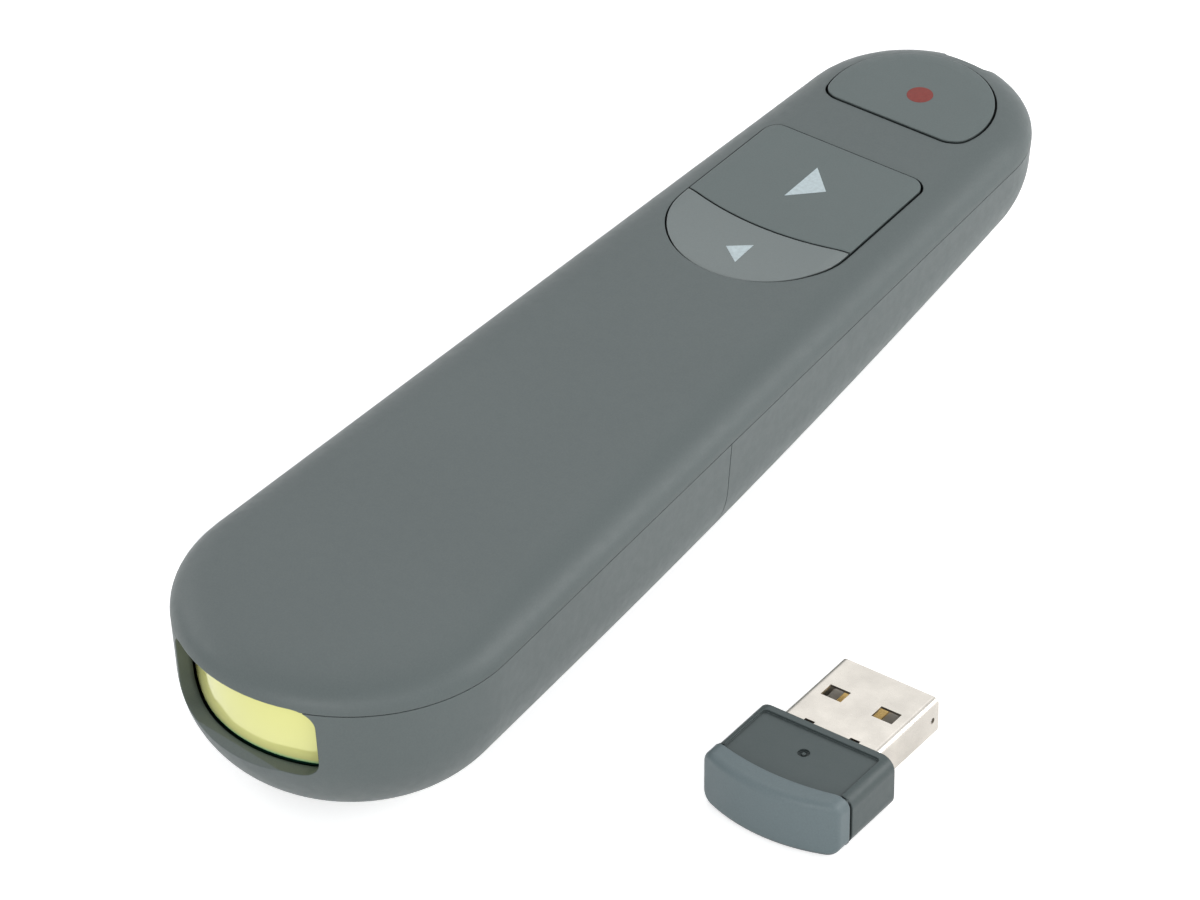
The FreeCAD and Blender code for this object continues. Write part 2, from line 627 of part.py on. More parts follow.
def make_batteries():
    """Two small round cells that lie head to tail."""
    steps = [("Sizes.battery_radius", "Sizes.battery_length - Sizes.nub_length"),
             ("Sizes.nub_radius", "Sizes.nub_length")]
    front_contact = POCKET_FRONT - size("contact_thickness")
    rear_contact = POCKET_REAR + size("contact_thickness")
    for label, side, end, turn in (("battery_left", -1, front_contact - size("battery_length"), -90),
                                   ("battery_right", 1, rear_contact + size("battery_length"), 90)):
        cell = revolved_body(label, steps)
        cell.Placement = FreeCAD.Placement(
            V(side * size("battery_side"), end, size("battery_height")),
            FreeCAD.Rotation(V(1, 0, 0), turn))
        SUBPARTS.append(cell)


def make_contacts():
    """Four contact plates on the tray's end walls, and the two springs on them."""
    side = size("contact_side")
    thick = size("contact_thickness")
    level = size("battery_height")
    plates = []
    for x in (-size("battery_side"), size("battery_side")):
        for y in (POCKET_REAR, POCKET_FRONT - thick):
            plates.append(box(x - side / 2, x + side / 2, y, y + thick,
                              level - side / 2, level + side / 2))
    add_shape("battery_contacts", Part.makeCompound(plates))
    springs = []
    wall = size("spring_wall")
    for x, y, way in ((-size("battery_side"), POCKET_REAR + thick, 1),
                      (size("battery_side"), POCKET_FRONT - thick, -1)):
        start = V(x, y, level)
        outer = Part.makeCone(size("spring_wide"), size("spring_narrow"), size("spring_room"),
                              start, V(0, way, 0))
        inner = Part.makeCone(size("spring_wide") - wall, size("spring_narrow") - wall,
                              size("spring_room"), start, V(0, way, 0))
        springs.append(outer.cut(inner))
    add_shape("battery_springs", Part.makeCompound(springs))


def make_screws():
    """Two screws that pass up through the shelf and the tray's ear into the lid's bosses."""
    screws = []
    for x in (-size("screw_side"), size("screw_side")):
        head = Part.makeCylinder(size("screw_head_radius"), size("screw_head_height"),
                                 V(x, SCREW_Y, SHELF_LOW - size("screw_head_height")))
        shank = Part.makeCylinder(size("screw_radius"), SCREW_TIP - SHELF_LOW, V(x, SCREW_Y, SHELF_LOW))
        slot = size("screw_slot_length") / 2
        deep = size("screw_head_height") / 2
        low = SHELF_LOW - size("screw_head_height")
        wide = size("screw_slot_width") / 2
        head = head.cut(box(x - slot, x + slot, SCREW_Y - wide, SCREW_Y + wide, low, low + deep))
        head = head.cut(box(x - wide, x + wide, SCREW_Y - slot, SCREW_Y + slot, low, low + deep))
        screws.append(head.fuse(shank).removeSplitter())
    add_shape("case_screws", Part.makeCompound(screws))


def make_electronics():
    """The main board with its key switches, radio chip and key mat."""
    board_low = "%.6f" % BOARD_LOW
    add_box("main_board", "2 * Sizes.board_half_width", "Sizes.board_front - Sizes.board_rear",
            "Sizes.board_thickness", "-Sizes.board_half_width", "Sizes.board_rear", board_low)
    for label, y in (("next_switch", NEXT_KEY), ("previous_switch", PREVIOUS_KEY),
                     ("laser_switch", LASER_KEY)):
        add_box(label, "Sizes.switch_side", "Sizes.switch_side", "Sizes.switch_height",
                "-Sizes.switch_side / 2", "%.6f - Sizes.switch_side / 2" % y, "%.6f" % BOARD_TOP)
    add_box("radio_chip", "Sizes.chip_side", "Sizes.chip_side", "Sizes.chip_height",
            "-Sizes.chip_side / 2", "Sizes.chip_place - Sizes.chip_side", "%.6f" % BOARD_TOP)
    add_box("button_mat", "2 * Sizes.mat_half_width", "Sizes.mat_front - Sizes.mat_rear",
            "Sizes.mat_thickness", "-Sizes.mat_half_width", "Sizes.mat_rear", "%.6f" % MAT_LOW)


def make_laser():
    """The laser barrel in its cradle behind the nose window, and the diode behind it."""
    glass_inside = nose_reach(size("port_recess") + size("port_glass"),
                              LASER_LEVEL - size("barrel_radius"))
    front = SPAN + glass_inside - size("laser_play")
    turn = FreeCAD.Rotation(V(1, 0, 0), -90)
    barrel = revolved_body("laser_barrel", [
        ("Sizes.barrel_radius", "Sizes.barrel_length * 2 / 3"),
        ("Sizes.barrel_radius - Sizes.barrel_step", "Sizes.barrel_length / 3")])
    barrel.Placement = FreeCAD.Placement(
        V(0, front - size("barrel_length"), LASER_LEVEL), turn)
    SUBPARTS.append(barrel)
    diode = revolved_body("laser_diode", [
        ("Sizes.diode_radius", "Sizes.diode_length * 2 / 3"),
        ("Sizes.diode_radius + Sizes.barrel_step", "Sizes.diode_length / 3")])
    diode.Placement = FreeCAD.Placement(
        V(0, front - size("barrel_length") - size("diode_length"), LASER_LEVEL), turn)
    SUBPARTS.append(diode)


def make_tail_light():
    """A small upright board on the tray's rear wall with two lamps behind the tail window."""
    thick = size("tail_board_thickness")
    half = size("tail_board_half_width")
    low = size("tail_board_low")
    add_shape("tail_board", box(-half, half, TRAY_REAR - thick, TRAY_REAR,
                                low, low + size("tail_board_height")))
    lamps = []
    side = size("led_side")
    middle = low + size("tail_board_height") / 2
    for x in (-size("led_spread"), size("led_spread")):
        lamps.append(box(x - side / 2, x + side / 2, TRAY_REAR - thick - size("led_depth"),
                         TRAY_REAR - thick, middle - side / 2, middle + side / 2))
    add_shape("tail_lamps", Part.makeCompound(lamps))


def make_power_switch():
    """A ribbed slider in the underside, the switch that it works, and their small board."""
    place = size("slider_place")
    rear = place - (size("slider_length") + size("slider_travel")) / 2
    front = rear + size("slider_length")
    half = size("slider_width") / 2
    face = keel_height(front + size("slider_travel")) + size("slider_sink")
    knob = rounded_box(-half, half, rear, front, face,
                       SLIDER_FLANGE_LOW + size("slider_flange_thickness") / 2,
                       size("slider_corner"), V(0, 0, 1))
    middle = (rear + front) / 2
    for step in (-2, -1, 0, 1, 2):
        y = middle + step * size("ridge_pitch")
        knob = knob.cut(box(-half, half, y - size("ridge_width") / 2, y + size("ridge_width") / 2,
                            face, face + size("ridge_depth")))
    wing = size("slider_flange")
    flange = box(-half - wing, half + wing, rear - wing, front + wing, SLIDER_FLANGE_LOW,
                 SLIDER_FLANGE_LOW + size("slider_flange_thickness"))
    add_shape("power_slider", knob.fuse(flange).removeSplitter())
    add_shape("power_switch", box(-size("power_box_half_width"), size("power_box_half_width"),
                                  place - size("power_box_half_length"),
                                  place + size("power_box_half_length"),
                                  POWER_BOX_LOW, POWER_BOARD_LOW))
    add_shape("power_board", box(-size("power_board_half_width"), size("power_board_half_width"),
                                 place - size("power_board_half_length"),
                                 place + size("power_board_half_length"), POWER_BOARD_LOW,
                                 POWER_BOARD_LOW + size("power_board_thickness")))


# Receiver

RX = size("receiver_place")
MOUTH = size("receiver_mouth")
FACE = MOUTH - size("plug_length")
PLUG_LOW = (size("receiver_height") - size("plug_height")) / 2
PLUG_HIGH = PLUG_LOW + size("plug_height")
PARTING = FACE - size("receiver_depth")


def bowed_plan(half, front, rear, front_bow, rear_bow, z):
    """A plan with straight sides, whose front and rear edges may bow towards the rear."""
    corners = [V(RX + half, front, z), V(RX - half, front, z),
               V(RX - half, rear, z), V(RX + half, rear, z)]
    if front_bow:
        front_edge = Part.Arc(corners[0], V(RX, front - front_bow, z), corners[1]).toShape()
    else:
        front_edge = Part.LineSegment(corners[0], corners[1]).toShape()
    return Part.Wire([
        front_edge,
        Part.LineSegment(corners[1], corners[2]).toShape(),
        Part.Arc(corners[2], V(RX, rear - rear_bow, z), corners[3]).toShape(),
        Part.LineSegment(corners[3], corners[0]).toShape(),
    ])


def plug_solid(shrink, rear, front):
    half = size("plug_width") / 2 - shrink
    return rounded_box(RX - half, RX + half, rear, front, PLUG_LOW + shrink, PLUG_HIGH - shrink,
                       size("plug_corner") - shrink, V(0, 1, 0))


def lengthwise_edges(solid, shortest):
    """The edges that run straight along Y and are longer than a given length."""
    return [edge for edge in solid.Edges
            if edge.BoundBox.YLength > shortest and edge.BoundBox.XLength < 1e-4]


def make_receiver_case():
    """The receiver's housing with its sunken top panel and neck, and the bowed end cap behind it."""
    half = size("receiver_width") / 2
    height = size("receiver_height")
    corner = size("receiver_corner")
    bow = size("receiver_bow")
    shoulder = PARTING + size("neck_length")
    top = height - size("housing_step")
    housing = slab(bowed_plan(half, FACE, shoulder, 0, bow, 0), top)
    housing = housing.makeFillet(corner, lengthwise_edges(housing, size("receiver_depth") / 2))
    inset = size("neck_inset")
    neck = slab(bowed_plan(half - inset, shoulder, PARTING, bow, bow, inset), top - 2 * inset)
    margin = size("panel_margin")
    panel = slab(bowed_plan(half - margin, FACE - size("panel_front_margin"),
                            shoulder - size("neck_length"), 0, bow, top - size("panel_depth")), height)
    front_uprights = [edge for edge in panel.Edges
                      if edge.BoundBox.ZLength > height / 2
                      and edge.BoundBox.YMin > FACE - size("receiver_depth") / 2]
    panel = panel.makeFillet(size("panel_corner"), front_uprights)
    housing = housing.cut(panel).fuse(neck)
    dimple_y = FACE - size("dimple_back")
    dimple_floor = top - 2 * size("panel_depth")
    dimple = Part.makeCylinder(size("dimple_radius"), height, V(RX, dimple_y, dimple_floor))
    bump = Part.makeSphere(size("dimple_bump"), V(RX, dimple_y, dimple_floor))
    housing = housing.cut(dimple).fuse(bump)
    cavity = plug_solid(0.0, PARTING + size("cavity_end"), FACE + 1)
    add_shape("receiver_housing", housing.cut(cavity).removeSplitter())
    cap = slab(bowed_plan(half, PARTING, PARTING - size("cap_depth"), bow, size("cap_bow"), 0), height)
    cap = cap.makeFillet(corner, lengthwise_edges(cap, size("cap_depth") / 2))
    rear_face = min(cap.Faces, key=lambda face: face.CenterOfMass.y)
    cap = cap.makeFillet(size("cap_edge"), rear_face.Edges)
    add_shape("receiver_cap", cap.removeSplitter())


def make_plug():
    """The metal plug with its latch windows, the tongue in it and the four contacts."""
    rear = FACE - size("plug_root")
    shell = plug_solid(0.0, rear, MOUTH).cut(plug_solid(size("plug_metal"), rear - 1, MOUTH + 1))
    half = size("plug_window_width") / 2
    long_half = size("plug_window_length") / 2
    y = MOUTH - size("plug_window_back")
    for x in (RX - size("plug_window_side"), RX + size("plug_window_side")):
        shell = shell.cut(box(x - half, x + half, y - long_half, y + long_half, 0,
                              size("receiver_height")))
    half = size("notch_width") / 2
    long_half = size("notch_length") / 2
    y = MOUTH - size("notch_back")
    for x in (RX - size("notch_side"), RX + size("notch_side")):
        shell = shell.cut(box(x - half, x + half, y - long_half, y + long_half,
                              size("receiver_height") / 2, size("receiver_height")))
    side_hole = Part.makeCylinder(size("side_hole_radius"), size("plug_width") + 2 * size("plug_metal"),
                                  V(RX - size("plug_width") / 2 - size("plug_metal"),
                                    MOUTH - size("side_hole_back"), size("receiver_height") / 2),
                                  V(1, 0, 0))
    add_shape("plug_shell", shell.cut(side_hole).removeSplitter())
    tongue_low = PLUG_LOW + size("plug_metal")
    tongue_top = tongue_low + size("tongue_thickness")
    half = size("tongue_width") / 2
    add_shape("plug_tongue", box(RX - half, RX + half, rear, MOUTH - size("tongue_back"),
                                 tongue_low, tongue_top))
    pins = []
    front = MOUTH - size("tongue_back") - size("pin_setback")
    for offset in (-size("pin_outer"), -size("pin_inner"), size("pin_inner"), size("pin_outer")):
        x = RX + offset
        pins.append(box(x - size("pin_width") / 2, x + size("pin_width") / 2,
                        front - size("pin_length"), front,
                        tongue_top, tongue_top + size("pin_thickness")))
    add_shape("plug_contacts", Part.makeCompound(pins))
    board_half = size("radio_board_width") / 2
    board_rear = PARTING + size("cavity_end") + size("battery_play")
    board_top = tongue_low + size("radio_board_thickness")
    add_shape("receiver_board", box(RX - board_half, RX + board_half, board_rear, rear,
                                    tongue_low, board_top))
    middle = (board_rear + rear) / 2
    chip = size("radio_chip_side") / 2
    add_shape("receiver_chip", box(RX - chip, RX + chip, middle - chip, middle + chip, board_top,
                                   board_top + size("radio_chip_height")))


# Assembly

make_upper_shell()
make_lower_shell()
make_battery_cover()
make_tail_lens()
make_port_glass()
make_buttons()
make_tray()
make_batteries()
make_contacts()
make_screws()
make_electronics()
make_laser()
make_tail_light()
make_power_switch()
make_receiver_case()
make_plug()
doc.recompute()

failed = [item.Label for item in doc.Objects if "Invalid" in item.State or "Error" in item.State]
for item in SUBPARTS:
    if item.Shape.isNull() or not item.Shape.isValid():
        failed.append(item.Label)
if failed:
    raise RuntimeError("failed: " + ", ".join(failed))
for item in SUBPARTS:
    item.Shape.exportStep("parts/%s.step" % item.Label)
    print(item.Label, round(item.Shape.Volume, 1), len(item.Shape.Solids))
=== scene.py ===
import math

import bmesh
import bpy
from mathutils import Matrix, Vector

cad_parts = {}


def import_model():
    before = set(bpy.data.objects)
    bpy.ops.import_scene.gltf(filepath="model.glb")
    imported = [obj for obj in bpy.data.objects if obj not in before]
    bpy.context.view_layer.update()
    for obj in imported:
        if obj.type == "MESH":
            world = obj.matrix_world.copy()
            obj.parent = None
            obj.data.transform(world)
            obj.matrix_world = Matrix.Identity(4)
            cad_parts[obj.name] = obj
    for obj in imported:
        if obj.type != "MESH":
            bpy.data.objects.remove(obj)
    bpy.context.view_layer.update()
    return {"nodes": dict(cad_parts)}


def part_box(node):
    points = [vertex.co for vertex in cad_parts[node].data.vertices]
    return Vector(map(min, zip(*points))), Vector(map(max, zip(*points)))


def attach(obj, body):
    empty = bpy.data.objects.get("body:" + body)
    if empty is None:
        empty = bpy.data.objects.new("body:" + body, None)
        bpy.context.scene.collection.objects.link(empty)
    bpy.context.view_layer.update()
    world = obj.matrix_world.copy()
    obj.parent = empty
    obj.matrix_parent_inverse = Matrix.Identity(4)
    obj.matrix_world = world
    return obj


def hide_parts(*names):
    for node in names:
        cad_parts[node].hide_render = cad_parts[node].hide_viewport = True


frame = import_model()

MM = 0.001
NODES = frame["nodes"]

# Camera, worked out from the photograph's perspective
LENS = 300.0
SENSOR = 36.0
AZIMUTH = math.radians(35.25)
ELEVATION = math.radians(37.09)
TARGET = Vector((-1.45, 46.06, 8.0)) * MM
DISTANCE = 1058.8 * MM

# Colours, linear
SHELL_COLOUR = (0.112, 0.133, 0.132)
KEY_COLOUR = (0.120, 0.146, 0.144)
RECEIVER_COLOUR = (0.066, 0.085, 0.085)
CAP_COLOUR = (0.138, 0.176, 0.186)
MARK_WHITE = (0.52, 0.605, 0.63)
MARK_RED = (0.216, 0.034, 0.026)

# The tail window's colours from its lower edge to its top: both ends of the dark line, which is a painted
# shadow where the window meets the ledge, the green over it, the full tint and the top
WINDOW_TINTS_AND_SHADOW = ((0.003, 0.022, 0.014), (0.006, 0.050, 0.030), (0.52, 0.82, 0.40), (0.84, 0.84, 0.33),
                (0.80, 0.795, 0.24))

# Printed marks on the keys, millimetres; INK is the coat's thickness, INK_STEP the spacing of its
# points, INK_SKIRT how many thicknesses its skirt reaches down, and RAY_START how far above a piece
# the search for its top starts
NEXT_MARK = ((-1.08, 86.1), (-1.08, 79.8), (2.17, 82.95))
PREVIOUS_MARK = ((1.33, 67.0), (1.33, 70.5), (-1.05, 68.75))
LASER_MARK_CENTRE = (0.35, 103.8)
LASER_MARK_RADIUS = 1.45
INK = 0.012
INK_STEP = 0.4
INK_SKIRT = 3
RAY_START = 1.0

# Tail window, millimetres: what its frame hides, then from there up the end of the dark line of painted
# shadow, the green and the full tint
LENS_HIDDEN = 0.9
PAINTED_EDGE_SHADOW = 0.22
EDGE_GREEN = 0.33
TINT_FULL = 0.7

# Painted shade in narrow gaps of the mouldings: how far away the other side is felt, in millimetres, the
# share of open sky that counts as closed and as open, and the share of its colour that a closed gap keeps
GAP_REACH = 0.8
GAP_CLOSED = 0.32
GAP_OPEN = 0.90
PAINTED_GAP_SHADE = 0.12

# Painted highlight on the edges of the mouldings: its reach, in millimetres, and the cosine between
# rounded and true normal at which an edge counts in full
EDGE_REACH = 0.25
EDGE_TURN = 0.75

# Where the battery jacket's band starts along the clicker, millimetres
CELL_BAND = 24.0

# Roll of the previous key's top towards the tail, millimetres: where it starts, its radius, the number
# of slices it is cut into, the band under the top that moves, and the angle from which an edge is sharp
ROLL_START = 75.0
ROLL_RADIUS = 150.0
ROLL_SLICES = 14
ROLL_BAND = 0.5
ROLL_SHARP = math.radians(30)

# The keys, the moulded radius on them in millimetres, and the angle from which an edge gets it
KEYS = ("next_button", "previous_button", "laser_button")
KEY_EDGE = 0.15
KEY_ANGLE = math.radians(50)

# Rim of the nose glass, millimetres: depth of the port, the rim's thickness, how far it lies below the
# shell, its play, how far beside the port the shell is measured, and into how many columns and rows
# the rim is divided
PORT_DEPTH = 2.35
BRIDGE_DEPTH = 0.8
BRIDGE_RECESS = 0.35
BRIDGE_PLAY = 0.03
BESIDE_PORT = 0.5
BRIDGE_COLUMNS = 12
BRIDGE_ROWS = 4

# Floor and world: half the floor's side and its drop below the receiver, metres, the strength that
# makes the floor show as white, and the world's strength as a light
FLOOR_HALF = 1.5
FLOOR_DROP = 0.00002
FLOOR_GLOW = 0.62
WORLD_LIGHT = 0.36

# Lamps: name, azimuth and elevation in degrees, distance and size in metres, watts
LAMPS = (
    ("front_softbox", 60, 28, 0.9, (0.7, 0.5), 1.7),
    ("tail_softbox", 14, 16, 0.6, (0.36, 0.24), 1.2),
    ("top_softbox", 215, 62, 0.5, (0.4, 0.4), 0.5),
    ("nose_softbox", 125, 24, 0.45, (0.25, 0.25), 0.9),
    ("left_softbox", 275, 32, 0.8, (0.6, 0.4), 1.6),
)


def look_at(obj, point):
    """Turn a lamp or camera so that it faces a point."""
    direction = Vector(point) - obj.location
    obj.rotation_mode = "QUATERNION"
    obj.rotation_quaternion = direction.to_track_quat("-Z", "Y")


def away(azimuth, elevation):
    """Direction away from the object, for angles in radians, azimuth 0 being in front of the tail."""
    return Vector((math.sin(azimuth) * math.cos(elevation),
                   -math.cos(azimuth) * math.cos(elevation),
                   math.sin(elevation)))


def placed(name, data):
    """A new object in the scene with this data."""
    piece = bpy.data.objects.new(name, data)
    bpy.context.scene.collection.objects.link(piece)
    return piece


def built(name, build, material):
    """A new object from a bmesh, which is freed, with its faces turned outwards."""
    bmesh.ops.recalc_face_normals(build, faces=build.faces)
    mesh = bpy.data.meshes.new(name)
    build.to_mesh(mesh)
    build.free()
    mesh.materials.append(material)
    return placed(name, mesh)


# Materials

class Nodes:
    """A material's node tree, with short names for what every material uses."""

    def __init__(self, name):
        self.material = bpy.data.materials.new(name)
        self.material.use_nodes = True
        self.tree = self.material.node_tree
        self.tree.nodes.clear()
        self.output = self.add("ShaderNodeOutputMaterial")
        self.place = self.add("ShaderNodeTexCoord").outputs["Object"]

    def add(self, kind, **settings):
        node = self.tree.nodes.new(kind)
        for key, value in settings.items():
            setattr(node, key, value)
        return node

    def link(self, source, target):
        self.tree.links.new(source, target)

    def noise(self, scale, detail=2.0, roughness=0.5, stretch=None):
        """Noise with a scale in features per metre."""
        node = self.add("ShaderNodeTexNoise")
        node.inputs["Scale"].default_value = scale
        node.inputs["Detail"].default_value = detail
        node.inputs["Roughness"].default_value = roughness
        if stretch is None:
            self.link(self.place, node.inputs["Vector"])
        else:
            mapping = self.add("ShaderNodeMapping")
            mapping.inputs["Scale"].default_value = stretch
            self.link(self.place, mapping.inputs["Vector"])
            self.link(mapping.outputs["Vector"], node.inputs["Vector"])
        return node.outputs["Fac"]

    def spread(self, value, low, high):
        """A value from 0.3 to 0.7 spread between low and high."""
        node = self.add("ShaderNodeMapRange")
        node.inputs["From Min"].default_value = 0.3
        node.inputs["From Max"].default_value = 0.7
        node.inputs["To Min"].default_value = low
        node.inputs["To Max"].default_value = high
        self.link(value, node.inputs["Value"])
        return node.outputs["Result"]

    def blend(self, factor, first, second):
        """Mix of two colours, each a colour or a socket, by a factor that is a number or a socket."""
        node = self.add("ShaderNodeMix", data_type="RGBA")
        if isinstance(factor, float):
            node.inputs["Factor"].default_value = factor
        else:
            self.link(factor, node.inputs["Factor"])
        for socket, value in (("A", first), ("B", second)):
            target = [s for s in node.inputs if s.name == socket and s.type == "RGBA"][0]
            if isinstance(value, tuple):
                target.default_value = (*value, 1.0)
            else:
                self.link(value, target)
        return [s for s in node.outputs if s.type == "RGBA"][0]

    def bump(self, height, depth, normal=None):
        """Bump whose height of 1 stands for a depth in millimetres."""
        node = self.add("ShaderNodeBump")
        node.inputs["Strength"].default_value = 1.0
        node.inputs["Distance"].default_value = depth * MM
        self.link(height, node.inputs["Height"])
        if normal is not None:
            self.link(normal, node.inputs["Normal"])
        return node.outputs["Normal"]

    def rounded(self, radius):
        """Normal that rounds off sharp edges, with a radius in millimetres."""
        bevel = self.add("ShaderNodeBevel", samples=6)
        bevel.inputs["Radius"].default_value = radius * MM
        return bevel.outputs["Normal"]

    def open_sky(self, distance):
        """Near 0 in narrow gaps, up to a distance in millimetres, and 1 in the open."""
        occlusion = self.add("ShaderNodeAmbientOcclusion", samples=6)
        occlusion.inputs["Distance"].default_value = distance * MM
        ramp = self.add("ShaderNodeMapRange")
        ramp.inputs["From Min"].default_value = GAP_CLOSED
        ramp.inputs["From Max"].default_value = GAP_OPEN
        self.link(occlusion.outputs["AO"], ramp.inputs["Value"])
        return ramp.outputs["Result"]

    def edge(self, radius):
        """Near 1 on convex and concave edges within a radius in millimetres, 0 elsewhere."""
        geometry = self.add("ShaderNodeNewGeometry")
        dot = self.add("ShaderNodeVectorMath", operation="DOT_PRODUCT")
        self.link(self.rounded(radius), dot.inputs[0])
        self.link(geometry.outputs["Normal"], dot.inputs[1])
        ramp = self.add("ShaderNodeMapRange")
        ramp.inputs["From Min"].default_value = 1.0
        ramp.inputs["From Max"].default_value = EDGE_TURN
        self.link(dot.outputs["Value"], ramp.inputs["Value"])
        return ramp.outputs["Result"]

    def shader(self, colour, roughness, metallic=0.0, ior=1.5, normal=None, **extra):
        """The surface: each setting is a number, a colour or a socket."""
        node = self.add("ShaderNodeBsdfPrincipled")
        settings = {"Base Color": colour, "Roughness": roughness, "Metallic": metallic, "IOR": ior}
        settings.update(extra)
        for name, value in settings.items():
            if isinstance(value, bpy.types.NodeSocket):
                self.link(value, node.inputs[name])
            elif isinstance(value, tuple):
                node.inputs[name].default_value = (*value, 1.0)
            else:
                node.inputs[name].default_value = value
        if normal is not None:
            self.link(normal, node.inputs["Normal"])
        self.link(node.outputs["BSDF"], self.output.inputs["Surface"])
        return node


def shade(colour, factor):
    """The colour times a factor, each channel held to 1."""
    return tuple(min(c * factor, 1.0) for c in colour)


def moulded(name, colour, grain=0.006, roughness=0.46, edge_highlight=1.16, rounding=0.2, gloss=0.3):
    """Spark-textured moulded plastic, with a painted highlight on its edges and painted shade in narrow
    gaps.
    """
    m = Nodes(name)
    tone = m.blend(m.spread(m.noise(55.0), 0.0, 1.0), shade(colour, 0.965), shade(colour, 1.035))
    speck = m.blend(m.spread(m.noise(5200.0, 1.0), 0.0, 1.0), shade(colour, 0.93), shade(colour, 1.07))
    base = m.blend(0.5, tone, speck)
    # Painted shade: the colour darkens in narrow gaps between parts
    shaded = m.blend(m.open_sky(GAP_REACH), shade(colour, PAINTED_GAP_SHADE), base)
    # Painted highlight: the colour turns paler on rounded edges
    highlighted = m.blend(m.edge(EDGE_REACH), shaded, shade(colour, edge_highlight))
    rough = m.spread(m.noise(900.0, 3.0), roughness - 0.04, roughness + 0.05)
    fine = m.bump(m.noise(3400.0, 2.0, 0.6), grain, m.rounded(rounding))
    coarse = m.bump(m.noise(1250.0, 1.0), grain * 0.8, fine)
    m.shader(highlighted, rough, normal=coarse, **{"Specular IOR Level": gloss})
    return m.material


def printed_ink(name, colour):
    """Pad-printed ink with a slightly uneven coat."""
    m = Nodes(name)
    tone = m.blend(m.spread(m.noise(2600.0, 2.0), 0.0, 1.0), shade(colour, 0.9), shade(colour, 1.06))
    m.shader(tone, m.spread(m.noise(1500.0), 0.38, 0.5), normal=m.bump(m.noise(3400.0), 0.004),
             **{"Specular IOR Level": 0.3})
    return m.material


def tinted_window(name, lens):
    """Glossy yellow-green acrylic with a painted shadow line along its lower edge, where it meets the
    ledge.
    """
    m = Nodes(name)
    low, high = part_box(lens)
    split = m.add("ShaderNodeSeparateXYZ")
    m.link(m.place, split.inputs["Vector"])
    ramp = m.add("ShaderNodeValToRGB")
    height = m.add("ShaderNodeMapRange")
    height.inputs["From Min"].default_value = low.z + LENS_HIDDEN * MM
    height.inputs["From Max"].default_value = high.z
    m.link(split.outputs["Z"], height.inputs["Value"])
    m.link(height.outputs["Result"], ramp.inputs["Fac"])
    span = (high.z - low.z) / MM - LENS_HIDDEN
    # The ramp's dark bottom stops are a painted shadow where the window meets the ledge
    heights = (0.0, PAINTED_EDGE_SHADOW / span, EDGE_GREEN / span, TINT_FULL / span, 1.0)
    points = ramp.color_ramp.elements
    while len(points) < len(heights):
        points.new(0.5)
    for point, place, colour in zip(points, heights, WINDOW_TINTS_AND_SHADOW):
        point.position = place
        point.color = (*colour, 1.0)
    haze = m.spread(m.noise(700.0, 2.0), 0.10, 0.18)
    m.shader(ramp.outputs["Color"], haze, ior=1.49, normal=m.bump(m.noise(260.0, 1.0), 0.004),
             **{"Metallic": 0.12, "Transmission Weight": 0.06, "Coat Weight": 0.4, "Coat Roughness": 0.06})
    return m.material


def clear_window(name):
    """Clear acrylic over the laser's opening."""
    m = Nodes(name)
    haze = m.spread(m.noise(900.0, 2.0), 0.02, 0.06)
    m.shader((0.66, 0.65, 0.62), haze, ior=1.49, normal=m.bump(m.noise(300.0, 1.0), 0.003),
             **{"Transmission Weight": 0.86})
    return m.material


def plain_plastic(name, colour, roughness=0.4, grain=0.003):
    """Small inner mouldings."""
    m = Nodes(name)
    tone = m.blend(m.spread(m.noise(400.0, 2.0), 0.0, 1.0), shade(colour, 0.9), shade(colour, 1.1))
    m.shader(tone, m.spread(m.noise(800.0), roughness - 0.05, roughness + 0.08),
             normal=m.bump(m.noise(2500.0), grain))
    return m.material


def metal(name, colour, roughness=0.28, brushed=(1.0, 12.0, 12.0), depth=0.002):
    """Stamped or turned metal with fine drawing lines."""
    m = Nodes(name)
    lines = m.noise(1400.0, 3.0, 0.6, stretch=brushed)
    tone = m.blend(m.spread(m.noise(350.0), 0.0, 1.0), shade(colour, 0.9), shade(colour, 1.06))
    m.shader(tone, m.spread(lines, roughness - 0.06, roughness + 0.1), metallic=1.0,
             normal=m.bump(lines, depth))
    return m.material


def circuit_board(name):
    """Green solder resist over faint copper tracks."""
    m = Nodes(name)
    tracks = m.add("ShaderNodeTexBrick")
    tracks.inputs["Scale"].default_value = 380.0
    tracks.inputs["Mortar Size"].default_value = 0.06
    tracks.inputs["Color1"].default_value = (0.010, 0.075, 0.030, 1.0)
    tracks.inputs["Color2"].default_value = (0.012, 0.090, 0.036, 1.0)
    tracks.inputs["Mortar"].default_value = (0.045, 0.190, 0.070, 1.0)
    m.link(m.place, tracks.inputs["Vector"])
    m.shader(tracks.outputs["Color"], m.spread(m.noise(900.0), 0.25, 0.4),
             normal=m.bump(tracks.outputs["Fac"], 0.03))
    return m.material


def cell_jacket(name):
    """Dark shrink-sleeved battery jacket with a copper-coloured band at one end."""
    m = Nodes(name)
    split = m.add("ShaderNodeSeparateXYZ")
    m.link(m.place, split.inputs["Vector"])
    band = m.add("ShaderNodeMath", operation="GREATER_THAN")
    band.inputs[1].default_value = CELL_BAND * MM
    m.link(split.outputs["Y"], band.inputs[0])
    tone = m.blend(band.outputs["Value"], (0.03, 0.03, 0.032), (0.42, 0.27, 0.10))
    m.shader(tone, m.spread(m.noise(500.0), 0.22, 0.34), metallic=0.35,
             normal=m.bump(m.noise(700.0, 3.0), 0.004))
    return m.material


SHELL = moulded("shell_plastic", SHELL_COLOUR)
KEY = moulded("key_plastic", KEY_COLOUR, grain=0.005, roughness=0.42, rounding=0.3)

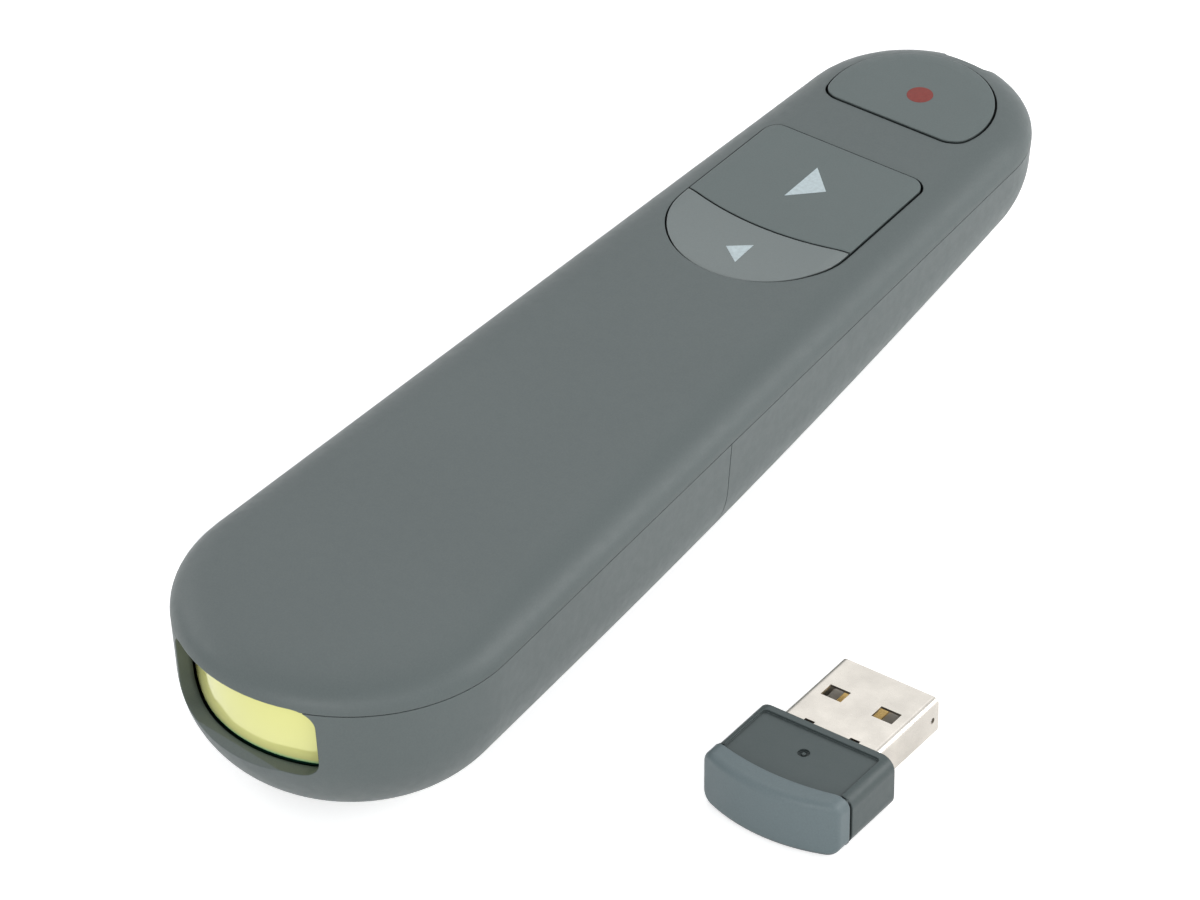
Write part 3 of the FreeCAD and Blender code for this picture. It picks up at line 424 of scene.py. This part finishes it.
# Pieces whose finish differs from the rest of their slot
OWN_FINISHES = {
    "previous_button": moulded("rolled_key_plastic", KEY_COLOUR, grain=0.005, roughness=0.34,
                               rounding=0.3, gloss=0.75),
    "receiver_housing": moulded("receiver_plastic", RECEIVER_COLOUR, grain=0.004, roughness=0.4),
    "receiver_cap": moulded("cap_plastic", CAP_COLOUR, grain=0.005, roughness=0.44),
}

# Finishes by slot
FINISHES = {
    "shell_grey": SHELL,
    "key_grey": KEY,
    "window_tint": tinted_window("tinted_acrylic", "tail_lens"),
    "window_clear": clear_window("clear_acrylic"),
    "inner_black": plain_plastic("inner_plastic", (0.018, 0.019, 0.018)),
    "cell_jacket": cell_jacket("battery_jacket"),
    "spring_steel": metal("spring_steel", (0.56, 0.55, 0.53)),
    "board_green": circuit_board("circuit_board"),
    "switch_black": plain_plastic("switch_plastic", (0.025, 0.025, 0.026)),
    "chip_black": plain_plastic("chip_resin", (0.02, 0.02, 0.022), 0.5),
    "mat_rubber": plain_plastic("mat_rubber", (0.09, 0.09, 0.09), 0.6, 0.006),
    "barrel_brass": metal("turned_brass", (0.62, 0.44, 0.19), brushed=(12.0, 1.0, 12.0)),
    "lamp_white": plain_plastic("lamp_lens", (0.72, 0.72, 0.66), 0.3),
    "slider_black": plain_plastic("slider_plastic", (0.03, 0.03, 0.031), 0.45, 0.005),
    "plug_steel": metal("plug_plating", (0.56, 0.525, 0.475), roughness=0.3, depth=0.0008),
    "tongue_white": plain_plastic("tongue_plastic", (0.62, 0.60, 0.56), 0.4),
    "pin_gold": metal("pin_gold", (0.80, 0.58, 0.24), roughness=0.22),
}

for name, node in NODES.items():
    slot_name = node.data.materials[0].name
    node.data.materials[0] = OWN_FINISHES.get(name, FINISHES[slot_name])


# Rounded key edges

def round_edges(piece):
    """A small moulded radius on a key's sharp edges."""
    bevel = piece.modifiers.new("edge_radius", "BEVEL")
    bevel.width = KEY_EDGE * MM
    bevel.segments = 2
    bevel.limit_method = "ANGLE"
    bevel.angle_limit = KEY_ANGLE


# Rolled key

def rolled_key():
    """The previous key with a top that rolls down towards the tail."""
    name = "previous_button"
    low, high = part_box(name)
    mesh = NODES[name].data.copy()
    build = bmesh.new()
    build.from_mesh(mesh)
    for step in range(1, ROLL_SLICES):
        y = low.y + (ROLL_START * MM - low.y) * step / ROLL_SLICES
        bmesh.ops.bisect_plane(build, geom=build.verts[:] + build.edges[:] + build.faces[:],
                               plane_co=(0, y, 0), plane_no=(0, 1, 0))
    for vert in build.verts:
        past = ROLL_START * MM - vert.co.y
        if past > 0 and vert.co.z > high.z - ROLL_BAND * MM:
            vert.co.z -= past * past / (2 * ROLL_RADIUS * MM)
    build.to_mesh(mesh)
    build.free()
    mesh.set_sharp_from_angle(angle=ROLL_SHARP)
    piece = placed("rolled_previous_key", mesh)
    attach(piece, "previous_key")
    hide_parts(name)
    bpy.context.view_layer.update()
    return piece


# The pieces on which prints and the glass's rim are laid, by the name of their node
TOPS = {"next_button": NODES["next_button"],
        "previous_button": rolled_key(),
        "laser_button": NODES["laser_button"],
        "upper_shell": NODES["upper_shell"]}

for name in KEYS:
    round_edges(TOPS[name])


# Printed marks

def top_of(name, x, y):
    """Point on the top of a key or the shell, in metres."""
    start = Vector((x * MM, y * MM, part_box(name)[1].z + RAY_START * MM))
    found, place, _, _ = TOPS[name].ray_cast(start, Vector((0, 0, -1)))
    if not found:
        raise ValueError(f"{name} has no top at {x}, {y}")
    return place


def divided(outline):
    """The outline with every side cut into short steps."""
    points = []
    for first, second in zip(outline, outline[1:] + outline[:1]):
        steps = max(1, round(math.dist(first, second) / INK_STEP))
        for i in range(steps):
            part = i / steps
            points.append((first[0] + (second[0] - first[0]) * part,
                           first[1] + (second[1] - first[1]) * part))
    return points


def mark(name, outline, node, body, material):
    """A thin print that follows a key's top, built as rings round its middle."""
    edge = divided(list(outline))
    middle = [sum(point[axis] for point in outline) / len(outline) for axis in (0, 1)]
    reach = max(math.dist(middle, point) for point in outline)
    rings = max(2, round(reach / INK_STEP))
    build = bmesh.new()
    lift = Vector((0, 0, INK)) * MM
    centre = build.verts.new(top_of(node, *middle) + lift)
    previous = None
    for ring in range(1, rings + 1):
        part = ring / rings
        current = [build.verts.new(top_of(node, *(middle[axis] + (point[axis] - middle[axis]) * part
                                                  for axis in (0, 1))) + lift) for point in edge]
        for i in range(len(edge)):
            following = (i + 1) % len(edge)
            if previous is None:
                build.faces.new((centre, current[i], current[following]))
            else:
                build.faces.new((previous[i], current[i], current[following], previous[following]))
        previous = current
    skirt = [build.verts.new(vert.co - INK_SKIRT * lift) for vert in previous]
    for i in range(len(edge)):
        following = (i + 1) % len(edge)
        build.faces.new((previous[i], skirt[i], skirt[following], previous[following]))
    piece = built(name, build, material)
    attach(piece, body)


def circle(centre, radius, steps=48):
    """Points round a circle, in the units of its radius."""
    turn = 2 * math.pi / steps
    return [(centre[0] + radius * math.cos(i * turn), centre[1] + radius * math.sin(i * turn))
            for i in range(steps)]


WHITE_INK = printed_ink("white_ink", MARK_WHITE)
RED_INK = printed_ink("red_ink", MARK_RED)
mark("next_mark", NEXT_MARK, "next_button", "next_key", WHITE_INK)
mark("previous_mark", PREVIOUS_MARK, "previous_button", "previous_key", WHITE_INK)
mark("laser_mark", circle(LASER_MARK_CENTRE, LASER_MARK_RADIUS), "laser_button", "laser_key", RED_INK)


# Nose glass

def glass_bridge():
    """The glass's rim, which lies on the nose's shoulder behind the upright part of the glass."""
    glass = "nose_window"
    low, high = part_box(glass)
    half = (high.x - low.x) / 2
    beside = half / MM + BESIDE_PORT
    depth = high.y - low.y
    build = bmesh.new()
    rows = []
    for row in range(BRIDGE_ROWS + 1):
        part = row / BRIDGE_ROWS
        line = []
        for column in range(BRIDGE_COLUMNS + 1):
            x = (2 * column / BRIDGE_COLUMNS - 1) * half
            start = Vector((x, low.y - 2 * depth, high.z - BRIDGE_DEPTH * MM / 2))
            found, inner, _, _ = NODES[glass].ray_cast(start, Vector((0, 1, 0)))
            front = (inner.y if found else low.y) - BRIDGE_PLAY * MM
            back = high.y - (PORT_DEPTH - BRIDGE_PLAY) * MM
            y = back + (front - back) * part
            top = top_of("upper_shell", beside, y / MM).z - BRIDGE_RECESS * MM
            line.append((build.verts.new((x, y, top)), build.verts.new((x, y, top - BRIDGE_DEPTH * MM))))
        rows.append(line)
    for near, far in zip(rows, rows[1:]):
        for column in range(BRIDGE_COLUMNS):
            a, b, c, d = near[column], near[column + 1], far[column + 1], far[column]
            build.faces.new((a[0], b[0], c[0], d[0]))
            build.faces.new((a[1], d[1], c[1], b[1]))
    rim = ([(rows[0][i], rows[0][i + 1]) for i in range(BRIDGE_COLUMNS)]
           + [(rows[-1][i + 1], rows[-1][i]) for i in range(BRIDGE_COLUMNS)]
           + [(rows[i + 1][0], rows[i][0]) for i in range(BRIDGE_ROWS)]
           + [(rows[i][-1], rows[i + 1][-1]) for i in range(BRIDGE_ROWS)])
    for first, second in rim:
        build.faces.new((first[0], first[1], second[1], second[0]))
    piece = built("nose_glass_rim", build, FINISHES["window_clear"])
    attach(piece, "casing")


glass_bridge()


# Floor, world, lamps and camera

def seen_directly(tree):
    """1 for camera, glossy and transmission rays, which see the pale surroundings, and 0 for the rest."""
    path = tree.nodes.new("ShaderNodeLightPath")
    seen = path.outputs["Is Camera Ray"]
    for ray in ("Is Glossy Ray", "Is Transmission Ray"):
        either = tree.nodes.new("ShaderNodeMath")
        either.operation = "MAXIMUM"
        tree.links.new(seen, either.inputs[0])
        tree.links.new(path.outputs[ray], either.inputs[1])
        seen = either.outputs["Value"]
    return seen


def floor():
    """Pale floor that shows as white and keeps the object's shadow."""
    mesh = bpy.data.meshes.new("floor")
    corners = [(x * FLOOR_HALF, y * FLOOR_HALF, 0) for x, y in ((-1, -1), (1, -1), (1, 1), (-1, 1))]
    mesh.from_pydata(corners, [], [(0, 1, 2, 3)])
    piece = placed("floor", mesh)
    piece.location = (0, 0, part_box("receiver_housing")[0].z - FLOOR_DROP)
    m = Nodes("floor_paper")
    diffuse = m.add("ShaderNodeBsdfDiffuse")
    tone = m.blend(m.spread(m.noise(20.0), 0.0, 1.0), (0.80, 0.80, 0.80), (0.82, 0.82, 0.82))
    m.link(tone, diffuse.inputs["Color"])
    glow = m.add("ShaderNodeEmission")
    glow.inputs["Color"].default_value = (1, 1, 1, 1)
    level = m.add("ShaderNodeMath", operation="MULTIPLY")
    m.link(seen_directly(m.tree), level.inputs[0])
    level.inputs[1].default_value = FLOOR_GLOW
    m.link(level.outputs["Value"], glow.inputs["Strength"])
    both = m.add("ShaderNodeAddShader")
    m.link(diffuse.outputs["BSDF"], both.inputs[0])
    m.link(glow.outputs["Emission"], both.inputs[1])
    m.link(both.outputs["Shader"], m.output.inputs["Surface"])
    mesh.materials.append(m.material)


def world():
    """Soft grey surroundings that show as white to camera, glossy and transmission rays."""
    scene_world = bpy.data.worlds.new("studio")
    scene_world.use_nodes = True
    bpy.context.scene.world = scene_world
    tree = scene_world.node_tree
    background = tree.nodes["Background"]
    background.inputs["Color"].default_value = (0.96, 0.98, 1.0, 1.0)
    level = tree.nodes.new("ShaderNodeMapRange")
    level.inputs["To Min"].default_value = WORLD_LIGHT
    level.inputs["To Max"].default_value = 1.0
    tree.links.new(seen_directly(tree), level.inputs["Value"])
    tree.links.new(level.outputs["Result"], background.inputs["Strength"])


def softbox(name, azimuth, elevation, distance, size, watts):
    """An area lamp that faces the object, for angles in degrees."""
    lamp = bpy.data.lights.new(name, "AREA")
    lamp.shape = "RECTANGLE"
    lamp.size = size[0]
    lamp.size_y = size[1]
    lamp.energy = watts
    piece = placed(name, lamp)
    piece.location = TARGET + away(math.radians(azimuth), math.radians(elevation)) * distance
    look_at(piece, TARGET)


def camera():
    """The camera at the photograph's viewing angle."""
    data = bpy.data.cameras.new("camera")
    data.sensor_width = SENSOR
    data.lens = LENS
    data.clip_start = 0.05
    data.clip_end = 10.0
    piece = placed("camera", data)
    piece.location = TARGET + away(AZIMUTH, ELEVATION) * DISTANCE
    look_at(piece, TARGET)
    bpy.context.scene.camera = piece


floor()
world()
for lamp in LAMPS:
    softbox(*lamp)
camera()
bpy.context.scene.view_settings.view_transform = "Standard"
